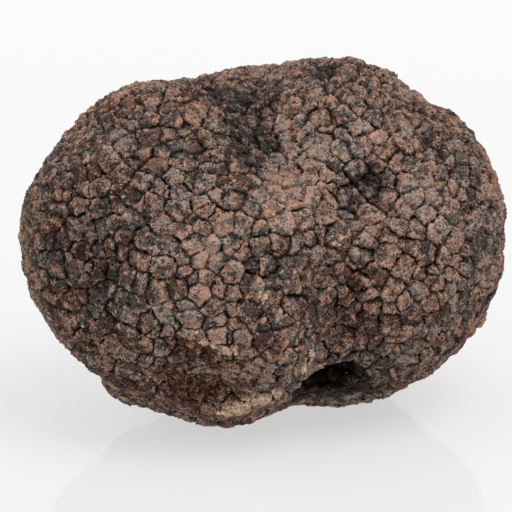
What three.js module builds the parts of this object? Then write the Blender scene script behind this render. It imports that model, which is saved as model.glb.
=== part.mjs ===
// A black truffle: one solid, lumpy body that rests on a small flat spot.
// Millimetres, +Z up. The origin is on the surface it rests on, at the middle of its bounding box.
import * as THREE from "three";
import { ImprovedNoise } from "three/addons/math/ImprovedNoise.js";
import { mergeVertices } from "three/addons/utils/BufferGeometryUtils.js";

const FACE_SPLITS = 17; // each of an icosahedron's 20 faces becomes (FACE_SPLITS + 1) squared triangles
const HEART = new THREE.Vector3(0, 2, 27); // the whole skin can be seen from this point inside
const FURTHEST = 60; // no part of the skin is this far from the heart
const SOFTNESS = 4; // how far out the valleys between lobes are filled
const LUMPS = { height: 0.5, across: 13 }; // low unevenness all over the skin

// The swellings that the body is made of. Each is an ellipsoid.
const LOBES = [
  { name: "left", at: [-11.8, -2.0, 27.3], radii: [23.3, 26.0, 24.4] },
  { name: "right", at: [13.6, 5.5, 26.3], radii: [23.4, 26.0, 23.4] },
  { name: "crown", at: [11.0, 4, 41.1], radii: [12.7, 15, 12.1] },
  { name: "back", at: [0, 11, 36.8], radii: [15, 18, 13.6] },
  { name: "bridge", at: [4, -5.5, 30.5], radii: [13, 18.5, 9.5] },
  { name: "belly", at: [0.5, -8, 20], radii: [10.5, 19.0, 13.5] },
  { name: "foot", at: [-6.0, -1.8, 14.2], radii: [14.5, 17, 15.2] },
  { name: "heel", at: [10.2, 9.5, 13.6], radii: [16.6, 16, 15.1] },
];

// Where the skin is pushed in or out: along the line between two points,
// over a reach on each side, by a vector.
const FOLDS = [
  { name: "valley", from: [-4, -6, 50], to: [1.5, -15, 43.5], reach: 8, push: [-0.9, 0.5, -2.0] },
  { name: "saddle", from: [-2, -23, 38], to: [6, -18, 41], reach: 10, push: [0.4, -1.7, 0.9] },
  { name: "dimple", from: [14, -17, 38], to: [16, -17, 39], reach: 6, push: [-0.2, 2.2, -1.3] },
  { name: "crease", from: [9.8, -22, 27], to: [11.5, -20, 18], reach: 6, push: [0, 2.4, 0] },
  { name: "hollow", from: [8.5, -14, 9.6], to: [11.5, -14, 9.8], reach: 5, push: [-1.4, 6, 1.2] },
  { name: "lip", from: [10.5, -17, 12.4], to: [4.0, -17.5, 6], reach: 4, push: [0.8, -1.4, -1.2] },
  { name: "instep right", from: [6.5, -16.5, 3.5], to: [9, -15, 7], reach: 4.5, push: [0.3, 3.6, 0.8] },
  { name: "flank", from: [-25, -24, 22], to: [-25, -24, 30], reach: 9, push: [1.4, 1.8, 0] },
  { name: "instep", from: [-13, -22.5, 11.5], to: [-5, -21, 8.5], reach: 4.5, push: [0, 1.8, 0.6] },
  { name: "shoulder", from: [-29, -6, 44], to: [-29, 6, 44], reach: 11, push: [0.6, 0, -0.7] },
  { name: "under left", from: [-27, -12, 8], to: [-27, 4, 8], reach: 9, push: [1.4, 0, 1.4] },
  { name: "top left", from: [-21, -9, 50], to: [-21, 6, 50], reach: 8, push: [0.3, 0, -0.5] },
  { name: "low left", from: [-33, -9, 16], to: [-33, 4, 16], reach: 8, push: [0.6, 0, 0.3] },
  { name: "toe", from: [-22, -9, 5], to: [-22, 0, 5], reach: 7, push: [-0.8, 0, -1.2] },
  { name: "back groove", from: [3, 25, 40], to: [-1, 27, 18], reach: 8, push: [0, -2.6, 0] },
  { name: "back dimple", from: [-20, 19, 36], to: [-17, 20, 38], reach: 7, push: [0.8, -1.8, -0.9] },
  { name: "right dimple", from: [35, 8, 22], to: [33, 12, 19], reach: 8, push: [-1.6, -0.4, 0.2] },
  { name: "spot", from: [27, -8, 42], to: [28, -6, 42], reach: 4.5, push: [-0.8, 0.5, -0.9] },
  { name: "beside crown", from: [24, -4, 47], to: [24, 8, 47], reach: 7, push: [-0.4, 0, -0.7] },
  { name: "left side", from: [-35, -5, 36], to: [-35, 7, 36], reach: 9, push: [0.3, 0, 0] },
  { name: "low right", from: [30, 0, 9], to: [30, 10, 9], reach: 8, push: [-0.2, 0, 0.2] },
];

// How far a point is outside an ellipsoid, roughly. Negative inside.
function outside(point, { at, radii }) {
  const [x, y, z] = [0, 1, 2].map((i) => (point.getComponent(i) - at[i]) / radii[i]);
  return (Math.hypot(x, y, z) - 1) * Math.min(...radii);
}

// The smaller of two distances, rounded off where they are nearly equal.
function softMin(a, b) {
  const near = Math.max(SOFTNESS - Math.abs(a - b), 0) / SOFTNESS;
  return Math.min(a, b) - (near * near * SOFTNESS) / 4;
}

const outsideBody = (point) => LOBES.map((lobe) => outside(point, lobe)).reduce(softMin);

// The point where the lobes' skin crosses the line from the heart in this direction.
function onSkin(direction) {
  let inner = 0;
  let outer = FURTHEST;
  const point = new THREE.Vector3();
  while (outer - inner > 1e-4) {
    const middle = (inner + outer) / 2;
    point.copy(HEART).addScaledVector(direction, middle);
    if (outsideBody(point) < 0) inner = middle;
    else outer = middle;
  }
  return point;
}

const noise = new ImprovedNoise();

function addLumps(point, direction) {
  const { x, y, z } = point.clone().divideScalar(LUMPS.across);
  point.addScaledVector(direction, LUMPS.height * 2 * noise.noise(x, y, z));
}

// Moves the point by the fold's push, in full on its line and not at all past its reach.
function fold(point, { from, to, reach, push }) {
  const line = new THREE.Line3(new THREE.Vector3(...from), new THREE.Vector3(...to));
  const nearest = line.closestPointToPoint(point, true, new THREE.Vector3());
  const share = Math.max(1 - nearest.distanceToSquared(point) / reach ** 2, 0);
  point.addScaledVector(new THREE.Vector3(...push), share * share);
}

function bodyGeometry() {
  const ball = new THREE.IcosahedronGeometry(1, FACE_SPLITS);
  ball.deleteAttribute("normal");
  ball.deleteAttribute("uv");
  const geometry = mergeVertices(ball);
  const places = geometry.getAttribute("position");
  const direction = new THREE.Vector3();
  for (let i = 0; i < places.count; i++) {
    direction.fromBufferAttribute(places, i).normalize();
    const point = onSkin(direction);
    FOLDS.forEach((each) => fold(point, each));
    addLumps(point, direction);
    point.z = Math.max(point.z, 0); // the flat spot that it rests on
    places.setXYZ(i, point.x, point.y, point.z);
  }
  geometry.computeBoundingBox();
  const middle = geometry.boundingBox.getCenter(new THREE.Vector3());
  geometry.translate(-middle.x, -middle.y, 0);
  geometry.computeVertexNormals();
  return geometry;
}

const skin = new THREE.MeshStandardMaterial({ color: 0x4a3a32, roughness: 0.9, metalness: 0 });
const truffle = new THREE.Mesh(bodyGeometry(), skin);
truffle.name = "truffle";

const part = new THREE.Group();
part.add(truffle);

export default part;
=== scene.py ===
import math

import bmesh
import bpy
import numpy as np
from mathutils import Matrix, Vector
from mathutils.kdtree import KDTree


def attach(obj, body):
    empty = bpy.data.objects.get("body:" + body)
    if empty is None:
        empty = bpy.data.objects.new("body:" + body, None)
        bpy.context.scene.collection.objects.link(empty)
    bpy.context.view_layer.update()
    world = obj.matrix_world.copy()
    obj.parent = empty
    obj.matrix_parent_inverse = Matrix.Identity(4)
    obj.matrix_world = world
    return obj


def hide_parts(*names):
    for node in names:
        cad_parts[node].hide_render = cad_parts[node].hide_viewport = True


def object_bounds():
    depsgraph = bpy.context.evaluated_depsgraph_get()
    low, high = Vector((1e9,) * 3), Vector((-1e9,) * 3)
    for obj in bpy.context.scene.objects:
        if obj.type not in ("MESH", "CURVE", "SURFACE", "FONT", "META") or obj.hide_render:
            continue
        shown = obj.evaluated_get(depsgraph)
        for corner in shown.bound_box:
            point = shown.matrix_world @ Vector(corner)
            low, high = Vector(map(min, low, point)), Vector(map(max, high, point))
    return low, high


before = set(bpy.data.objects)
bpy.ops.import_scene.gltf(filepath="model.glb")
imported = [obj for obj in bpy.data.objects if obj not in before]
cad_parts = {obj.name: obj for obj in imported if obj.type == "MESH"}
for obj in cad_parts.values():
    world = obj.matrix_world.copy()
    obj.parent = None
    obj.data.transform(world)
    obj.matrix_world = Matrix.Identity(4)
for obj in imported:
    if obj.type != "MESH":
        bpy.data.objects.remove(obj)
cad_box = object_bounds()

MM = 0.001
SEED = 20
# The skin's mesh is this fine, in millimetres.
VOXEL = 0.17
# The CAD box in millimetres.
LOW = np.array(cad_box[0]) / MM
HIGH = np.array(cad_box[1]) / MM
CENTRE = (LOW + HIGH) / 2
HALF = (HIGH - LOW) / 2

# ---------------------------------------------------------------- camera and light

ELEVATION = math.radians(15)
DISTANCE = 0.45
AIM = Vector((-0.0013, 0.0, 0.0240))
BACK = Vector((0.0, -math.cos(ELEVATION), math.sin(ELEVATION)))

camera_data = bpy.data.cameras.new("camera")
camera_data.sensor_width = 36.0
camera_data.lens = 213.6
camera = bpy.data.objects.new("camera", camera_data)
bpy.context.scene.collection.objects.link(camera)
bpy.context.scene.camera = camera
camera.location = AIM + BACK * DISTANCE
camera.rotation_mode = "QUATERNION"
camera.rotation_quaternion = (-BACK).to_track_quat("-Z", "Y")
camera_data.clip_start = 0.01
camera_data.clip_end = 20.0

# The studio's walls light the truffle softly. Past the floor's end they look as bright as the floor.
WALL_LIGHT = 0.80
WALL_LOOK = 1.0

world = bpy.data.worlds.new("studio")
world.use_nodes = True
bpy.context.scene.world = world
walls = world.node_tree
walls.nodes["Background"].inputs["Color"].default_value = (1.0, 1.0, 1.0, 1.0)
rays = walls.nodes.new("ShaderNodeLightPath")
level = walls.nodes.new("ShaderNodeMapRange")
level.inputs["To Min"].default_value = WALL_LIGHT
level.inputs["To Max"].default_value = WALL_LOOK
walls.links.new(rays.outputs["Is Camera Ray"], level.inputs["Value"])
walls.links.new(level.outputs[0], walls.nodes["Background"].inputs["Strength"])
bpy.context.scene.view_settings.view_transform = "Standard"

LAMP_SIZE = 0.5


def area_light(name, place, power):
    """A square soft light that points at the truffle's middle."""
    data = bpy.data.lights.new(name, "AREA")
    data.shape = "SQUARE"
    data.size = LAMP_SIZE
    data.energy = power
    lamp = bpy.data.objects.new(name, data)
    bpy.context.scene.collection.objects.link(lamp)
    lamp.location = place
    lamp.rotation_mode = "QUATERNION"
    lamp.rotation_quaternion = (Vector((0, 0, 0.025)) - Vector(place)).to_track_quat("-Z", "Y")


area_light("key", (0.25, -0.35, 0.75), 3.2)
area_light("fill", (-0.55, -0.35, 0.35), 0.6)

# ---------------------------------------------------------------- noise, on arrays of points in millimetres


def lattice(i, j, k, seed):
    """A random whole number for each lattice point, always the same one."""
    h = i * np.uint32(0x8DA6B343)
    h ^= j * np.uint32(0xD8163841)
    h ^= k * np.uint32(0xCB1AB31F)
    h ^= np.uint32(seed * 7919 + 17)
    h ^= h >> np.uint32(13)
    h *= np.uint32(0x5BD1E995)
    h ^= h >> np.uint32(15)
    h *= np.uint32(0x27D4EB2F)
    h ^= h >> np.uint32(16)
    return h


def noise(points, size, seed):
    """Smooth noise from about -1 to 1, with features about this size. Each seed gives another pattern."""
    at = points / size
    whole = np.floor(at)
    part = at - whole
    cell = whole.astype(np.int64).astype(np.uint32)
    ease = part**3 * (part * (part * 6 - 15) + 10)
    total = np.zeros(len(points))
    for corner in range(8):
        step = np.array([corner & 1, corner >> 1 & 1, corner >> 2 & 1])
        at_corner = cell + step.astype(np.uint32)
        h = lattice(at_corner[:, 0], at_corner[:, 1], at_corner[:, 2], seed)
        slope = np.stack([(h >> np.uint32(10 * a)) & np.uint32(1023) for a in range(3)], 1) / 511.5 - 1
        away = part - step
        share = np.where(step == 1, ease, 1 - ease).prod(1)
        total += share * (slope * away).sum(1)
    return total * 1.4


def cloud(points, size, seed, octaves=3, fade=0.55):
    """Noise on several sizes, each half the last."""
    return sum(noise(points, size / 2**n, seed + n) * fade**n for n in range(octaves))


def noise_vectors(points, size, seed):
    """Three noises, as one vector for each point."""
    return np.stack([noise(points, size, seed + 31 * a) for a in range(3)], 1)


def smoothstep(low, high, x):
    """0 below low, 1 above high, and a smooth rise between them."""
    t = np.clip((x - low) / (high - low), 0, 1)
    return t * t * (3 - 2 * t)


# ---------------------------------------------------------------- the smooth body

# Where the skin lies further in or out than on the CAD body: a line between two places, how far the pull
# reaches on each side, and how far it pulls. Places are shares of the box, the rest is in millimetres.
TUCKS = [
    # the deep fold low on the front, from its roof down to its floor
    ((0.622, 0.280, 0.215), (0.645, 0.270, 0.215), 3.4, (-0.4, 4.5, 2.0)),
    ((0.615, 0.275, 0.140), (0.640, 0.270, 0.150), 3.4, (0.0, 3.2, -0.3)),
    ((0.584, 0.248, 0.066), (0.619, 0.265, 0.120), 4.0, (0.6, 3.4, 0.6)),
    # the right end, low down
    ((0.970, 0.500, 0.200), (0.970, 0.700, 0.200), 8.0, (1.3, 0.0, -0.2)),
    # the saddle between the lobes, on top
    ((0.300, 0.500, 0.955), (0.510, 0.550, 0.970), 8.0, (0.0, 0.0, -0.9)),
    # the foot of the round lobe, and the skin that rises to the left of it
    ((0.360, 0.240, 0.030), (0.500, 0.220, 0.030), 5.0, (0.0, 0.9, 0.35)),
    ((0.270, 0.220, 0.120), (0.330, 0.250, 0.060), 6.0, (0.2, 0.2, 0.6)),
    # the shoulder of the crowned lobe
    ((0.860, 0.500, 0.800), (0.860, 0.600, 0.800), 6.0, (0.3, 0.0, 0.3)),
]


def modified(mesh, name, kind, settings):
    """The mesh with one modifier applied."""
    body = bpy.data.objects.new(name, mesh)
    bpy.context.scene.collection.objects.link(body)
    modifier = body.modifiers.new(name, kind)
    for setting, value in settings.items():
        setattr(modifier, setting, value)
    graph = bpy.context.evaluated_depsgraph_get()
    made = bpy.data.meshes.new_from_object(body.evaluated_get(graph), depsgraph=graph)
    bpy.data.objects.remove(body)
    bpy.data.meshes.remove(mesh)
    return made


def off_line(points, start, end):
    """How far each point is, squared, from the line between two places, which are shares of the box."""
    start, end = (LOW + (HIGH - LOW) * np.array(share) for share in (start, end))
    along = end - start
    share = np.clip((points - start) @ along / (along @ along), 0, 1)
    return ((points - start - share[:, None] * along) ** 2).sum(1)


def tuck(points, start, end, reach, pull):
    """The points after one pull, which is strongest on its line and fades out at its reach."""
    hold = np.clip(1 - off_line(points, start, end) / reach**2, 0, None) ** 2
    return points + hold[:, None] * np.array(pull)


def smooth_body():
    """The CAD body as a fine, even, smooth mesh: points in millimetres, and faces."""
    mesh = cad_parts["truffle"].data.copy()
    work = bmesh.new()
    work.from_mesh(mesh)
    bmesh.ops.remove_doubles(work, verts=work.verts, dist=MM / 1000)
    bmesh.ops.scale(work, vec=(1 / MM, 1 / MM, 1 / MM), verts=work.verts)
    work.to_mesh(mesh)
    work.free()
    mesh = modified(mesh, "round", "SUBSURF", {"levels": 3, "render_levels": 3})
    points = places(mesh)
    for each in TUCKS:
        points = tuck(points, *each)
    set_places(mesh, points)
    return modified(mesh, "even", "REMESH", {"mode": "VOXEL", "voxel_size": VOXEL})


def places(mesh):
    """Where the mesh's points are."""
    found = np.empty(len(mesh.vertices) * 3, np.float32)
    mesh.vertices.foreach_get("co", found)
    return found.reshape(-1, 3).astype(np.float64)


def set_places(mesh, found):
    mesh.vertices.foreach_set("co", found.astype(np.float32).ravel())
    mesh.update()


def normals(mesh):
    found = np.empty(len(mesh.vertices) * 3, np.float32)
    mesh.vertices.foreach_get("normal", found)
    return found.reshape(-1, 3).astype(np.float64)


class Neighbours:
    """Averages over the points that each point shares an edge with."""

    def __init__(self, mesh):
        ends = np.empty(len(mesh.edges) * 2, np.int32)
        mesh.edges.foreach_get("vertices", ends)
        self.a, self.b = ends.reshape(-1, 2).T
        self.size = len(mesh.vertices)
        self.count = np.maximum(np.bincount(ends, minlength=self.size), 1)

    def mean(self, x):
        if x.ndim == 2:
            return np.stack([self.mean(column) for column in x.T], 1)
        total = np.bincount(self.a, x[self.b], self.size)
        total += np.bincount(self.b, x[self.a], self.size)
        return total / self.count

    def smooth(self, x, rounds):
        for _ in range(rounds):
            x = (x + self.mean(x)) / 2
        return x


# ---------------------------------------------------------------- warts

# How far apart the middles of warts stand, of the facets on them and of whole groups: least and most.
WART_GAP = (1.15, 2.85)
FACET_GAP = (0.55, 1.25)
GROUP_GAP = (4.5, 9.0)
# A wart's edge rounds down over this width, and a light rim runs along it this far in.
DOME_WIDTH = 0.40
RIM_PLACE = 0.26
RIM_WIDTH = 0.08
# The crack between two warts, and the finer cut between two facets.
CRACK_WIDTH = 0.105
CRACK_DEPTH = 0.24
CUT_WIDTH = 0.10
CUT_DEPTH = 0.11
# What stands prouder or lies lower than this counts as this much.
PROUD_LIMIT = 0.4


def scatter(points, least, most, rng, tries):
    """Points of the surface that stand apart by their own random distance, and those distances."""
    chosen = rng.choice(len(points), min(tries, len(points)), replace=False)
    tree = KDTree(len(chosen))
    for i, p in enumerate(points[chosen]):
        tree.insert(p, i)
    tree.balance()
    apart = rng.uniform(least, most, len(chosen))
    free = np.ones(len(chosen), bool)
    kept = []
    for i in range(len(chosen)):
        if free[i]:
            kept.append(i)
            for _, j, _ in tree.find_range(points[chosen[i]], apart[i]):
                free[j] = False
    return points[chosen[kept]], apart[kept]


def near_seeds(points, seeds, block, near):
    """For each point, the numbers of the seeds nearest to the block of space that it lies in."""
    tree = KDTree(len(seeds))
    for i, p in enumerate(seeds):
        tree.insert(p, i)
    tree.balance()
    whole = np.floor(points / block).astype(np.int64)
    key = (whole[:, 0] + 4096) << 26 | (whole[:, 1] + 4096) << 13 | (whole[:, 2] + 4096)
    _, first, which = np.unique(key, return_index=True, return_inverse=True)
    middles = (whole[first] + 0.5) * block
    table = np.array([[j for _, j, _ in tree.find_n(p, near)] for p in middles])
    return table[which.ravel()]


def cells(points, seeds, weights, block, near=12):
    """For each point: its cell, the cell across the nearest border, and how far that border is."""
    found = near_seeds(points, seeds, block, near)
    own, other, edge = (np.empty(len(points), kind) for kind in (np.int64, np.int64, float))
    for start in range(0, len(points), 50000):
        part = slice(start, start + 50000)
        some, at = found[part], points[part]
        reach = ((at[:, None] - seeds[some]) ** 2).sum(2) - weights[some]
        row = np.arange(len(at))
        order = np.argmin(reach, 1)
        mine = some[row, order]
        gap = np.linalg.norm(seeds[some] - seeds[mine][:, None], axis=2)
        gap[row, order] = 1
        border = (reach - reach[row, order][:, None]) / (2 * gap)
        border[row, order] = np.inf
        nearest = np.argmin(border, 1)
        own[part], other[part], edge[part] = mine, some[row, nearest], border[row, nearest]
    return own, other, edge


def pair_random(a, b, seed):
    """A random number from 0 to 1 for each pair of cells, the same from both sides."""
    low, high = np.minimum(a, b).astype(np.uint32), np.maximum(a, b).astype(np.uint32)
    return (lattice(low, high, low ^ high, seed) & np.uint32(0xFFFF)) / 65535.0


def cell_random(cell, seed):
    """A random number from 0 to 1 for each cell."""
    own = cell.astype(np.uint32)
    return (lattice(own, own, own, seed) & np.uint32(0xFFFF)) / 65535.0


# Zones of the skin: a place as shares of the box, how far it reaches in millimetres, and how strong it is.
DUSTY = [
    ((0.70, 0.33, 0.91), 7, 0.06),
    ((0.553, 0.33, 0.89), 4, 0.14),
    ((0.70, 0.265, 0.82), 4, 0.06),
    ((0.757, 0.228, 0.717), 5, 0.12),
    ((0.412, 0.024, 0.700), 4, 0.10),
    ((0.626, 0.15, 0.65), 4, 0.12),
    ((0.38, 0.02, 0.64), 6, 0.12),
    ((0.53, 0.11, 0.74), 5, 0.14),
    ((0.58, 0.20, 0.78), 5, 0.12),
    ((0.80, 0.24, 0.72), 6, 0.03),
    ((0.78, 0.18, 0.55), 9, 0.04),
    ((0.40, 0.02, 0.48), 5, 0.12),
    ((0.40, 0.05, 0.30), 5, 0.08),
]
# Dark zones: charcoal patches of the rind, darker skin low on the foot, and painted shade in the dimple and
# in the deep fold low on the front.
DARK_AND_SHADE = [
    ((0.40, 0.44, 0.95), 5, 0.45),
    ((0.46, 0.35, 0.88), 5, 0.36),
    ((0.44, 0.21, 0.81), 5, 0.34),
    ((0.39, 0.09, 0.76), 4, 0.20),
    ((0.482, 0.46, 0.94), 4, 0.25),
    ((0.49, 0.27, 0.82), 4, 0.15),
    # painted shade in the dimple
    ((0.70, 0.24, 0.73), 3.5, 0.52),
    ((0.22, 0.25, 0.88), 6, 0.18),
    ((0.17, 0.18, 0.76), 8, 0.06),
    ((0.06, 0.35, 0.70), 8, 0.26),
    ((0.274, 0.02, 0.63), 6, 0.20),
    ((0.273, 0.01, 0.49), 4, 0.10),
    ((0.14, 0.12, 0.49), 9, 0.24),
    ((0.12, 0.14, 0.60), 7, 0.10),
    ((0.495, 0.03, 0.49), 5, 0.34),
    ((0.66, 0.16, 0.43), 5, 0.15),
    ((0.66, 0.19, 0.33), 5, 0.20),
    ((0.86, 0.39, 0.78), 4, 0.22),
    ((0.66, 0.45, 1.00), 6, 0.28),
    # painted shade in the deep fold low on the front, from its roof down to its floor
    ((0.64, 0.36, 0.20), 5, 1.80),
    ((0.70, 0.33, 0.10), 6, 0.30),
    ((0.60, 0.33, 0.12), 4, 1.00),
    ((0.30, 0.25, 0.06), 5, 0.18),
    ((0.42, 0.27, 0.01), 5, 0.25),
]
# Streaks of the skin: two places, how far it reaches to each side, and how strong it is.
SOIL = [
    ((0.345, 0.04, 0.335), (0.400, 0.06, 0.295), 2.4, 1.0),
    ((0.308, 0.106, 0.251), (0.361, 0.143, 0.215), 2.4, 1.0),
    ((0.361, 0.143, 0.215), (0.450, 0.180, 0.160), 2.2, 0.9),
    ((0.600, 0.13, 0.54), (0.660, 0.15, 0.50), 4.0, 0.45),
    ((0.08, 0.14, 0.32), (0.16, 0.14, 0.25), 7.0, 0.35),
    ((0.26, 0.16, 0.19), (0.40, 0.23, 0.08), 4.5, 0.32),
]
PALE = [
    ((0.433, 0.191, 0.106), (0.510, 0.168, 0.157), 1.7, 1.1),
    ((0.412, 0.029, 0.347), (0.435, 0.029, 0.332), 0.8, 1.1),
    ((0.380, 0.034, 0.356), (0.392, 0.032, 0.350), 0.7, 0.9),
    ((0.593, 0.123, 0.298), (0.581, 0.136, 0.243), 0.65, 1.2),
    ((0.205, 0.103, 0.760), (0.211, 0.103, 0.775), 1.3, 0.55),
    ((0.493, 0.024, 0.480), (0.496, 0.024, 0.492), 0.9, 0.60),
    ((0.640, 0.114, 0.610), (0.645, 0.114, 0.615), 1.2, 0.55),
    ((0.360, 0.022, 0.380), (0.366, 0.022, 0.390), 0.8, 0.60),
]


def zones(points, table):
    """How strongly the table's zones hold at each point."""
    total = np.zeros(len(points))
    for share, reach, strength in table:
        at = LOW + (HIGH - LOW) * np.array(share)
        total += strength * np.exp(-((points - at) ** 2).sum(1) / reach**2)
    return total


def streaks(points, table):
    """How strongly the table's streaks hold at each point."""
    total = np.zeros(len(points))
    for start, end, reach, strength in table:
        total += strength * np.exp(-off_line(points, start, end) / reach**2)
    return total


def warts(base, rng):
    """Shares the skin out among warts.

    For each point: its wart, the nearest other wart, how far their border is, the way from the wart's
    middle, and how much of a fissure the border is.
    """
    wander = base + 0.30 * noise_vectors(base, 1.1, 3) + 0.45 * noise_vectors(base, 4.0, 4)
    seeds, apart = scatter(base, *WART_GAP, rng, 60000)
    weights = 0.40 * (apart**2 - np.mean(apart**2))
    own, other, edge = cells(wander, seeds, weights, 0.6)
    edge = np.maximum(edge + 0.16 * cloud(base, 0.7, 7, 3, 0.8), 0)

    # Neighbouring warts that belong to different groups have a wider fissure between them.
    group_seeds, _ = scatter(base, *GROUP_GAP, rng, 20000)
    drawn = seeds + 1.6 * noise_vectors(seeds, 6.0, 5)
    group_of, _, _ = cells(drawn, group_seeds, np.zeros(len(group_seeds)), 2.0)
    fissure = (group_of[own] != group_of[other]) * smoothstep(-0.35, 0.35, cloud(base, 5.0, 30, 2))
    return own, other, edge, wander - seeds[own], fissure


def facets(base, rng):
    """Smaller plates on the warts. For each point: its facet, and how deep in the facet's cut it lies."""
    wander = base + 0.16 * noise_vectors(base, 0.6, 11)
    seeds, _ = scatter(base, *FACET_GAP, rng, 200000)
    own, other, edge = cells(wander, seeds, np.zeros(len(seeds)), 0.35)
    strong = smoothstep(0.50, 0.95, pair_random(own, other, 12) + 0.35 * cloud(base, 3.0, 13, 2))
    return own, np.exp(-((np.maximum(edge, 0) / CUT_WIDTH) ** 2)) * strong


def grow(mesh):
    """Raises the warts and opens the cracks.

    Returns the fields that the rind's colours follow, and where the smooth skin was.
    """
    rng = np.random.default_rng(SEED)
    links = Neighbours(mesh)
    base = links.smooth(places(mesh), 12)
    set_places(mesh, base)
    out = links.smooth(normals(mesh), 6)
    out /= np.linalg.norm(out, axis=1)[:, None]
    wart, other, edge, from_middle, fissure = warts(base, rng)
    facet, cut = facets(base, rng)

    # The warts are rugged and pointed high up, and flatter low down.
    how_high = (base[:, 2] - LOW[2]) / (HIGH[2] - LOW[2])
    rugged = smoothstep(0.25, 0.85, how_high + 0.30 * cloud(base, 9.0, 45, 2))

    # A groove runs round each wart, with a thin crack along the bottom of some stretches of it.
    chance = np.clip(pair_random(wart, other, 6) + 0.35 * fissure, 0, 1.2)
    groove = np.exp(-((edge / (0.13 + 0.24 * smoothstep(0.5, 1.1, chance))) ** 2))
    open_here = pair_random(wart, other, 8) + 0.5 * cloud(base, 1.6, 31, 2) + 0.35 * cloud(base, 7.0, 37, 2)
    crack = np.exp(-((edge / CRACK_WIDTH) ** 2))
    crack *= smoothstep(0.0, 0.6, open_here + 0.35 * fissure - 0.25 * rugged)

    # Fine ribs run outwards from the middle of each wart.
    outwards = from_middle / np.maximum(np.linalg.norm(from_middle, axis=1), 0.05)[:, None]
    shift = np.stack([cell_random(wart, 50 + a) for a in range(3)], 1) * 40
    spokes = outwards * 3.0 + shift + 0.5 * from_middle
    rib = noise(spokes, 0.6, 33)

    # Each wart is a low, leaning dome with a ragged edge, and its facets stand at their own heights.
    dome = 1 - np.exp(-edge / DOME_WIDTH)
    lean = np.stack([cell_random(wart, 40 + a) * 2 - 1 for a in range(3)], 1) * 0.20
    lift = (0.30 + 0.14 * rugged) * (cell_random(wart, 9) - 0.5)
    lift += np.clip((from_middle * lean).sum(1), -0.28, 0.28)
    lift += (0.10 + 0.24 * cell_random(wart, 10)) * dome
    lift += 0.15 * rugged * (np.minimum(edge, 1.1) - 0.5)
    lift += 0.16 * (cell_random(facet, 14) - 0.5) * dome
    lift += (0.11 + 0.11 * rugged) * cloud(base, 0.9, 15, 3, 0.75)
    lift -= (0.10 + 0.30 * smoothstep(0.3, 1.1, chance)) * groove

    height = lift + (0.08 + 0.08 * rugged) * rib * dome - CUT_DEPTH * cut - CRACK_DEPTH * crack
    height += 0.30 * cloud(base, 9.0, 16, 2) + 0.09 * cloud(base, 0.45, 36, 2, 0.8) - 0.35

    # Soil fills the grooves with crumbs, and the pale scraps lie on top.
    soil = streaks(base, SOIL)
    soil = np.clip(soil + 0.45 * cloud(base, 2.2, 17, 3, 0.7) * (soil > 0.05), 0, 1)
    crumbs = np.abs(noise(base, 1.1, 18)) + 0.7 * np.abs(noise(base, 0.55, 19))
    height = height * (1 - 0.6 * soil) + soil * (0.9 * crumbs - 0.45)
    pale = streaks(base, PALE)
    pale = smoothstep(0.32, 0.50, pale + 0.40 * cloud(base, 1.2, 38, 3, 0.8) * (pale > 0.02))
    height += 0.18 * pale

    raised = base + out * height[:, None]
    raised[:, 2] = np.maximum(raised[:, 2], 0)
    set_places(mesh, raised)

    proud = np.clip(lift - links.smooth(lift, 70), -PROUD_LIMIT, PROUD_LIMIT)
    fields = dust_fields(base, wart, facet, proud, rib * dome)
    rim = np.exp(-(((edge - RIM_PLACE) / RIM_WIDTH) ** 2)) * (1 - soil)
    fields["rim"] = rim * smoothstep(0.2, 0.9, cell_random(wart, 23) + 0.4 * cloud(base, 1.5, 35, 2))
    fields["crack"] = np.clip(crack, 0, 1)
    fields["hairline"] = cut
    fields["soil"] = soil
    fields["crumbs"] = np.clip(crumbs, 0, 1)
    fields["pale"] = pale
    fields["spokes"] = spokes
    return fields, base


def dust_fields(base, wart, facet, proud, rib):
    """How light, warm and dusty the skin is: lighter, warmer and dustier where it stands proud, and darker
    where it lies low.
    """
    dusty = zones(base, DUSTY)
    dark_and_shade = zones(base, DARK_AND_SHADE)
    patch = cloud(base, 1.3, 21, 3, 0.65)
    patchy = 1 + 0.8 * cloud(base, 2.2, 34, 3, 0.7)
    dust = 0.8 * patch + 0.7 * proud + 0.5 * cloud(base, 4.5, 39, 2)
    dust += 0.5 * (cell_random(wart, 28) - 0.5) + 1.6 * dusty - 0.9 * dark_and_shade
    tone = 0.600 + 0.16 * (cell_random(wart, 24) - 0.5) + 0.12 * (cell_random(facet, 25) - 0.5)
    tone += 0.50 * proud + 0.08 * patch + 0.12 * cloud(base, 7.0, 22, 2) + 0.22 * rib
    # The dark zones lower the tone: charcoal patches, and painted shade in the dimple and the deep fold.
    tone += dusty * patchy - 0.50 * dark_and_shade * patchy
    warm = 0.45 + 0.26 * (cell_random(wart, 20) - 0.5) + 0.60 * cloud(base, 1.8, 26, 2, 0.5) + 0.20 * patch
    warm += 0.30 * cloud(base, 8.0, 27, 2) - 0.30 * dark_and_shade + 0.4 * proud
    return {"tone": tone, "warm": warm, "dust": dust}


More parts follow.
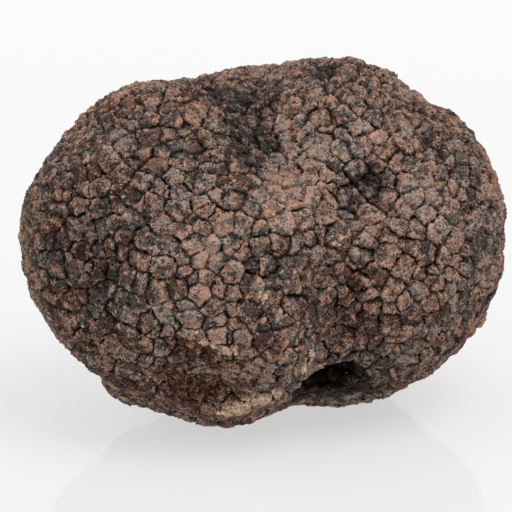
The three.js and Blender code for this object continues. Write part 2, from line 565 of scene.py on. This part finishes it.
def own_map(mesh, base):
    """Lays the skin out on six squares, one for each side of a cube round the body."""
    way = (base - CENTRE) / HALF
    corner_vertex = np.empty(len(mesh.loops), np.int32)
    mesh.loops.foreach_get("vertex_index", corner_vertex)
    start = np.empty(len(mesh.polygons), np.int32)
    mesh.polygons.foreach_get("loop_start", start)
    count = np.empty(len(mesh.polygons), np.int32)
    mesh.polygons.foreach_get("loop_total", count)
    corner_way = way[corner_vertex]
    face_way = np.add.reduceat(corner_way, start, axis=0)
    side = np.argmax(np.abs(face_way), 1)
    positive = face_way[np.arange(len(side)), side] > 0
    side, positive = np.repeat(side, count), np.repeat(positive, count)
    row = np.arange(len(side))
    ahead = corner_way[row, side]
    u = np.arctan(corner_way[row, (side + 1) % 3] / np.abs(ahead)) / (math.pi / 4)
    v = np.arctan(corner_way[row, (side + 2) % 3] / np.abs(ahead)) / (math.pi / 4)
    u = np.where(positive, u, -u)
    margin = 0.94
    uv = np.stack([(side + 0.5 + 0.5 * margin * u) / 3, (positive + 0.5 + 0.5 * margin * v) / 2], 1)
    layer = mesh.uv_layers.new(name="OFBake")
    layer.uv.foreach_set("vector", uv.astype(np.float32).ravel())


# ---------------------------------------------------------------- materials


class Nodes:
    """A short way to write a material's nodes."""

    def __init__(self, name):
        self.material = bpy.data.materials.new(name)
        self.material.use_nodes = True
        self.tree = self.material.node_tree
        self.shader = self.tree.nodes["Principled BSDF"]

    def link(self, value, socket):
        """Feeds a socket from another one, or sets it to a plain number or colour."""
        if isinstance(value, bpy.types.NodeSocket):
            self.tree.links.new(value, socket)
        elif isinstance(value, tuple) and len(value) == 3 and len(socket.default_value) == 4:
            socket.default_value = (*value, 1.0)
        else:
            socket.default_value = value

    def field(self, name, output="Fac"):
        """One of the mesh's own fields."""
        node = self.tree.nodes.new("ShaderNodeAttribute")
        node.attribute_name = name
        return node.outputs[output]

    def place(self):
        """The place on the object, in metres."""
        return self.tree.nodes.new("ShaderNodeTexCoord").outputs["Object"]

    def noise(self, size_mm, detail, roughness, at=None):
        """Noise from 0 to 1 with features about this size."""
        node = self.tree.nodes.new("ShaderNodeTexNoise")
        node.inputs["Scale"].default_value = 1 / (size_mm * MM)
        node.inputs["Detail"].default_value = detail
        node.inputs["Roughness"].default_value = roughness
        self.tree.links.new(at or self.place(), node.inputs["Vector"])
        return node.outputs["Fac"]

    def math(self, kind, a, b=0.0):
        node = self.tree.nodes.new("ShaderNodeMath")
        node.operation = kind
        self.link(a, node.inputs[0])
        self.link(b, node.inputs[1])
        return node.outputs[0]

    def step(self, value, low, high, to_low=0.0, to_high=1.0):
        """Goes smoothly from to_low to to_high while the value goes from low to high."""
        node = self.tree.nodes.new("ShaderNodeMapRange")
        node.interpolation_type = "SMOOTHSTEP"
        for socket, x in zip(node.inputs[:5], (value, low, high, to_low, to_high), strict=True):
            self.link(x, socket)
        return node.outputs[0]

    def mix(self, share, a, b):
        """Colour a, or colour b where the share is 1."""
        node = self.tree.nodes.new("ShaderNodeMix")
        node.data_type = "RGBA"
        self.link(share, node.inputs[0])
        self.link(a, node.inputs[6])
        self.link(b, node.inputs[7])
        return node.outputs[2]

    def dots(self, spacing_mm, at):
        """Cells: how far each point is from its cell's middle, and three random numbers for each cell."""
        node = self.tree.nodes.new("ShaderNodeTexVoronoi")
        node.inputs["Scale"].default_value = 1 / (spacing_mm * MM)
        self.tree.links.new(at, node.inputs["Vector"])
        split = self.tree.nodes.new("ShaderNodeSeparateColor")
        self.tree.links.new(node.outputs["Color"], split.inputs[0])
        return node.outputs["Distance"], list(split.outputs)

    def lines(self, size_mm, width, at):
        """Thin, wandering lines: 1 on the line and 0 off it."""
        middle = self.math("ABSOLUTE", self.math("SUBTRACT", self.noise(size_mm, 1.0, 0.5, at), 0.5))
        return self.step(middle, width / 2, 0.0)

    def total(self, first, *others):
        for other in others:
            first = self.math("ADD", first, other)
        return first

    def around(self, value, width):
        """A 0 to 1 value made to vary around zero, this wide."""
        return self.math("MULTIPLY", self.math("SUBTRACT", value, 0.5), width)

    def ramp(self, value, stops):
        """A colour that follows the value through these stops."""
        node = self.tree.nodes.new("ShaderNodeValToRGB")
        self.link(value, node.inputs[0])
        marks = node.color_ramp.elements
        while len(marks) < len(stops):
            marks.new(0.5)
        for mark, (where, colour) in zip(marks, stops, strict=True):
            mark.position = where
            mark.color = (*colour, 1.0)
        return node.outputs[0]

    def product(self, a, b):
        node = self.tree.nodes.new("ShaderNodeVectorMath")
        node.operation = "MULTIPLY"
        self.link(a, node.inputs[0])
        self.link(b, node.inputs[1])
        return node.outputs[0]


def bent_place(n):
    """The place on the object, shifted a little to and fro, so that what follows it wanders."""
    shift = 0.6 * MM
    warp = n.tree.nodes.new("ShaderNodeTexNoise")
    warp.inputs["Scale"].default_value = 1 / (0.7 * MM)
    warp.inputs["Detail"].default_value = 1.0
    n.link(n.place(), warp.inputs["Vector"])
    bend = n.tree.nodes.new("ShaderNodeVectorMath")
    bend.operation = "MULTIPLY_ADD"
    n.link(warp.outputs["Color"], bend.inputs[0])
    bend.inputs[1].default_value = (shift, shift, shift)
    n.link(n.place(), bend.inputs[2])
    return bend.outputs[0]


def spoke_place(n):
    """A place that changes slowly outwards along each wart and quickly round it, in metres."""
    spokes = n.tree.nodes.new("ShaderNodeVectorMath")
    spokes.operation = "SCALE"
    n.link(n.field("spokes", "Vector"), spokes.inputs[0])
    spokes.inputs["Scale"].default_value = MM
    return spokes.outputs[0]


def dusty_skin(n, tone, warm):
    """The skin's colour: how light it is follows the tone, and how red it is follows the warmth."""
    strength = n.ramp(
        tone,
        (
            (0.00, (0.0090, 0.0042, 0.0028)),
            (0.20, (0.0238, 0.0178, 0.0155)),
            (0.40, (0.0525, 0.0468, 0.0445)),
            (0.55, (0.0810, 0.0780, 0.0775)),
            (0.75, (0.1600, 0.1600, 0.1600)),
            (1.00, (0.4000, 0.4000, 0.4000)),
        ),
    )
    dark_tint = n.mix(warm, (1.02, 1.00, 0.97), (2.20, 0.76, 0.36))
    light_tint = n.mix(warm, (1.22, 0.98, 0.85), (1.48, 0.88, 0.635))
    tint = n.mix(n.step(tone, 0.15, 0.75), dark_tint, light_tint)
    return n.product(tint, strength)


def scattered(n, colour, spacing, at, size, share, cover, mark):
    """The colour with a few round marks on it: spacing, size, share of the cells, cover and colour."""
    away, pick = n.dots(spacing, at)
    chosen = n.math("MULTIPLY", n.step(away, *size), n.step(pick[0], *share))
    return n.mix(n.math("MULTIPLY", chosen, cover), colour, mark)


def rind_material():
    n = Nodes("truffle_rind")
    bent = bent_place(n)
    spokes = spoke_place(n)

    # Fine marks, from flakes of half a millimetre down to single grains.
    _, flake = n.dots(0.55, bent)
    crumb, crumb_random = n.dots(0.30, bent)
    fine = n.noise(0.30, 2.0, 0.7)
    grain = n.noise(0.16, 1.0, 0.6)
    pleats = n.noise(0.30, 2.0, 0.6, spokes)
    threads = n.lines(0.42, 0.06, spokes)
    fibres = n.math("MAXIMUM", n.lines(0.55, 0.05, bent), n.lines(0.85, 0.035, bent))
    fibres = n.math("MULTIPLY", fibres, n.step(n.noise(0.9, 1.0, 0.5, bent), 0.46, 0.58))
    dust = n.step(n.total(n.field("dust"), n.around(n.noise(0.55, 3.0, 0.7, bent), 1.8)), -0.06, 0.06)
    # Small pits, with painted shade in them and a dip in the bump.
    pit, pit_random = n.dots(0.50, bent)
    pits = n.math("MULTIPLY", n.step(pit, 0.32, 0.16), n.step(pit_random[0], 0.55, 0.75))

    tone = n.total(
        n.field("tone"),
        n.around(flake[0], 0.16),
        n.around(crumb_random[0], 0.26),
        n.math("MULTIPLY", n.around(fine, 1.6), n.step(dust, 0.0, 1.0, 0.5, 1.0)),
        n.around(grain, 0.70),
        n.around(dust, 0.23),
        n.around(pleats, 1.10),
        n.math("MULTIPLY", threads, n.step(dust, 0.0, 1.0, 0.20, 0.55)),
        n.math("MULTIPLY", fibres, n.step(dust, 0.0, 1.0, 0.35, 1.10)),
        n.math("MULTIPLY", pits, -0.60),
        n.math("MULTIPLY", n.field("rim"), 0.18),
    )
    warm = n.total(
        n.field("warm"),
        n.around(flake[1], 0.10),
        n.around(dust, 0.21),
        n.math("MULTIPLY", n.field("rim"), 0.15),
    )
    colour = dusty_skin(n, tone, n.step(warm, 0.0, 1.0))

    crumbs = n.total(
        n.field("crumbs"),
        n.around(crumb_random[2], 0.6),
        n.around(fine, 1.5),
        n.around(grain, 0.8),
    )
    earth = n.ramp(
        crumbs,
        (
            (0.00, (0.006, 0.002, 0.0015)),
            (0.30, (0.046, 0.018, 0.011)),
            (0.60, (0.150, 0.066, 0.039)),
            (0.90, (0.420, 0.225, 0.138)),
        ),
    )
    soil = n.step(n.total(n.field("soil"), n.around(flake[2], 0.4)), 0.25, 0.6)
    colour = n.mix(n.math("MULTIPLY", soil, 0.85), colour, earth)

    scraps = n.total(
        n.around(fine, 1.6),
        n.around(crumb_random[1], 0.5),
        n.math("MULTIPLY", fibres, 0.3),
        0.5,
    )
    straw = n.ramp(
        scraps,
        (
            (0.00, (0.130, 0.060, 0.034)),
            (0.35, (0.500, 0.290, 0.180)),
            (0.70, (0.850, 0.620, 0.450)),
            (1.00, (0.980, 0.880, 0.760)),
        ),
    )
    colour = n.mix(n.field("pale"), colour, straw)

    # Near-black in the cracks and, at half strength, in the cuts between facets: painted shade in these
    # crevices.
    crack = n.math("MAXIMUM", n.field("crack"), n.math("MULTIPLY", n.field("hairline"), 0.5))
    crack = n.step(n.total(crack, n.around(fine, 0.3)), 0.20, 0.75)
    colour = n.mix(n.math("MULTIPLY", crack, 0.93), colour, (0.009, 0.0035, 0.002))
    colour = scattered(n, colour, 0.8, bent, (0.45, 0.25), (0.88, 0.92), 0.6, (0.26, 0.140, 0.083))
    # Pale specks: pale grains, and painted glints of light.
    colour = scattered(n, colour, 0.7, n.place(), (0.22, 0.12), (0.92, 0.95), 0.8, (0.60, 0.50, 0.43))

    n.link(colour, n.shader.inputs["Base Color"])
    n.link(n.step(tone, 0.1, 0.8, 0.50, 0.90), n.shader.inputs["Roughness"])
    n.shader.inputs["Specular IOR Level"].default_value = 0.08
    relief = n.total(
        fine,
        n.math("MULTIPLY", pleats, 0.6),
        n.math("MULTIPLY", fibres, 0.7),
        n.math("MULTIPLY", crumb, -0.7),
        n.math("MULTIPLY", pits, -0.9),
    )
    bump = n.tree.nodes.new("ShaderNodeBump")
    bump.inputs["Strength"].default_value = 1.0
    bump.inputs["Distance"].default_value = 0.24 * MM
    n.link(relief, bump.inputs["Height"])
    n.link(bump.outputs[0], n.shader.inputs["Normal"])
    return n.material


def floor_material():
    """A pale, smooth floor that glows a little, as a lit table does."""
    n = Nodes("pale_floor")
    n.shader.inputs["Base Color"].default_value = (0.28, 0.28, 0.283, 1.0)
    n.shader.inputs["Roughness"].default_value = 0.07
    n.shader.inputs["Specular IOR Level"].default_value = 0.05
    n.shader.inputs["Emission Color"].default_value = (1.0, 1.0, 1.0, 1.0)
    n.shader.inputs["Emission Strength"].default_value = 0.565
    return n.material


# ---------------------------------------------------------------- the truffle

mesh = smooth_body()
fields, base = grow(mesh)
for name, values in fields.items():
    if values.ndim == 2:
        attribute = mesh.attributes.new(name, "FLOAT_VECTOR", "POINT")
        attribute.data.foreach_set("vector", values.astype(np.float32).ravel())
    else:
        attribute = mesh.attributes.new(name, "FLOAT", "POINT")
        attribute.data.foreach_set("value", values.astype(np.float32))
own_map(mesh, base)
set_places(mesh, places(mesh) * MM)
mesh.polygons.foreach_set("use_smooth", np.ones(len(mesh.polygons), bool))
mesh.materials.clear()
mesh.materials.append(rind_material())
truffle = bpy.data.objects.new("truffle_rind", mesh)
bpy.context.scene.collection.objects.link(truffle)
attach(truffle, "root")
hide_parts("truffle")

# ---------------------------------------------------------------- the floor

FLOOR_REACH = 6.0
corners = [(FLOOR_REACH * x, FLOOR_REACH * y, 0) for x, y in ((-1, -1), (1, -1), (1, 1), (-1, 1))]
floor_mesh = bpy.data.meshes.new("floor")
floor_mesh.from_pydata(corners, [], [(0, 1, 2, 3)])
floor_mesh.materials.append(floor_material())
floor = bpy.data.objects.new("floor", floor_mesh)
bpy.context.scene.collection.objects.link(floor)
